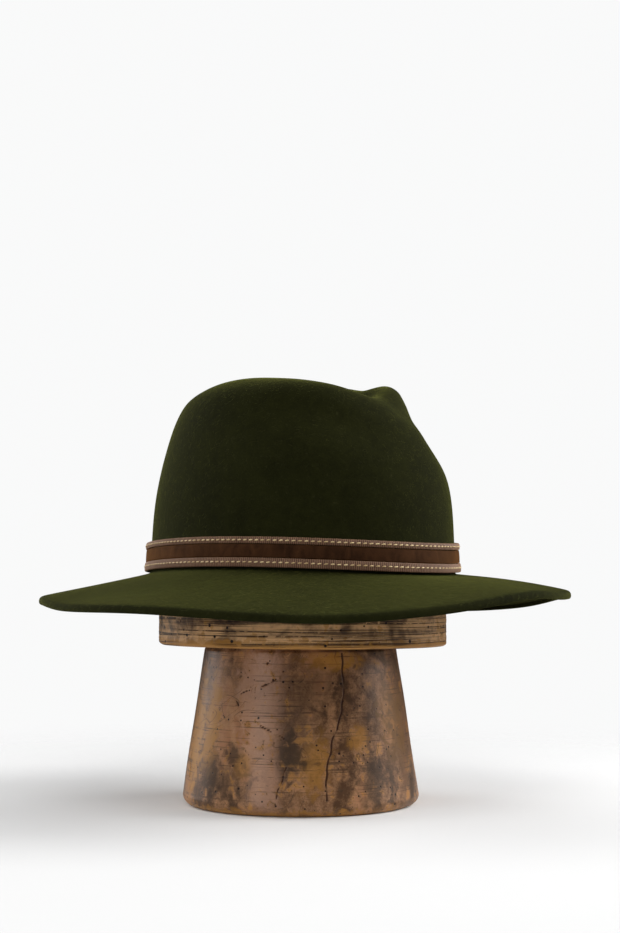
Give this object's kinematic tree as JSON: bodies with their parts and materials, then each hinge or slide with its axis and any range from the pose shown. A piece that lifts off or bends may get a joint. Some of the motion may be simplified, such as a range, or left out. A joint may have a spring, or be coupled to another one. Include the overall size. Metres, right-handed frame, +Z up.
{
  "type": "loden hat on wooden hat stand",
  "caption": "Dark green felt hat with a centre-creased crown, a gently waved brim turned down at its edge and a stitched suede band, resting on a tapered wooden hat stand.",
  "frame": {"origin": "centre of the underside of the stand's foot", "axes": "+Z up, -Y to the hat's front, +X to the wearer's left"},
  "size_m": [0.3063, 0.3451, 0.2648],
  "materials": {
    "felt": "dense matt loden felt with a short nap",
    "suede": "dark brown suede",
    "trim": "taupe ribbed ribbon with pale stitching",
    "wood": "old waxed wood, worn and stained"
  },
  "bodies": {
    "root": {"felt_body": "felt", "band_centre": "suede", "band_upper_trim": "trim", "band_lower_trim": "trim", "stand_block": "wood", "stand_base": "wood", "stand_post": "wood"}
  },
  "joints": []
}
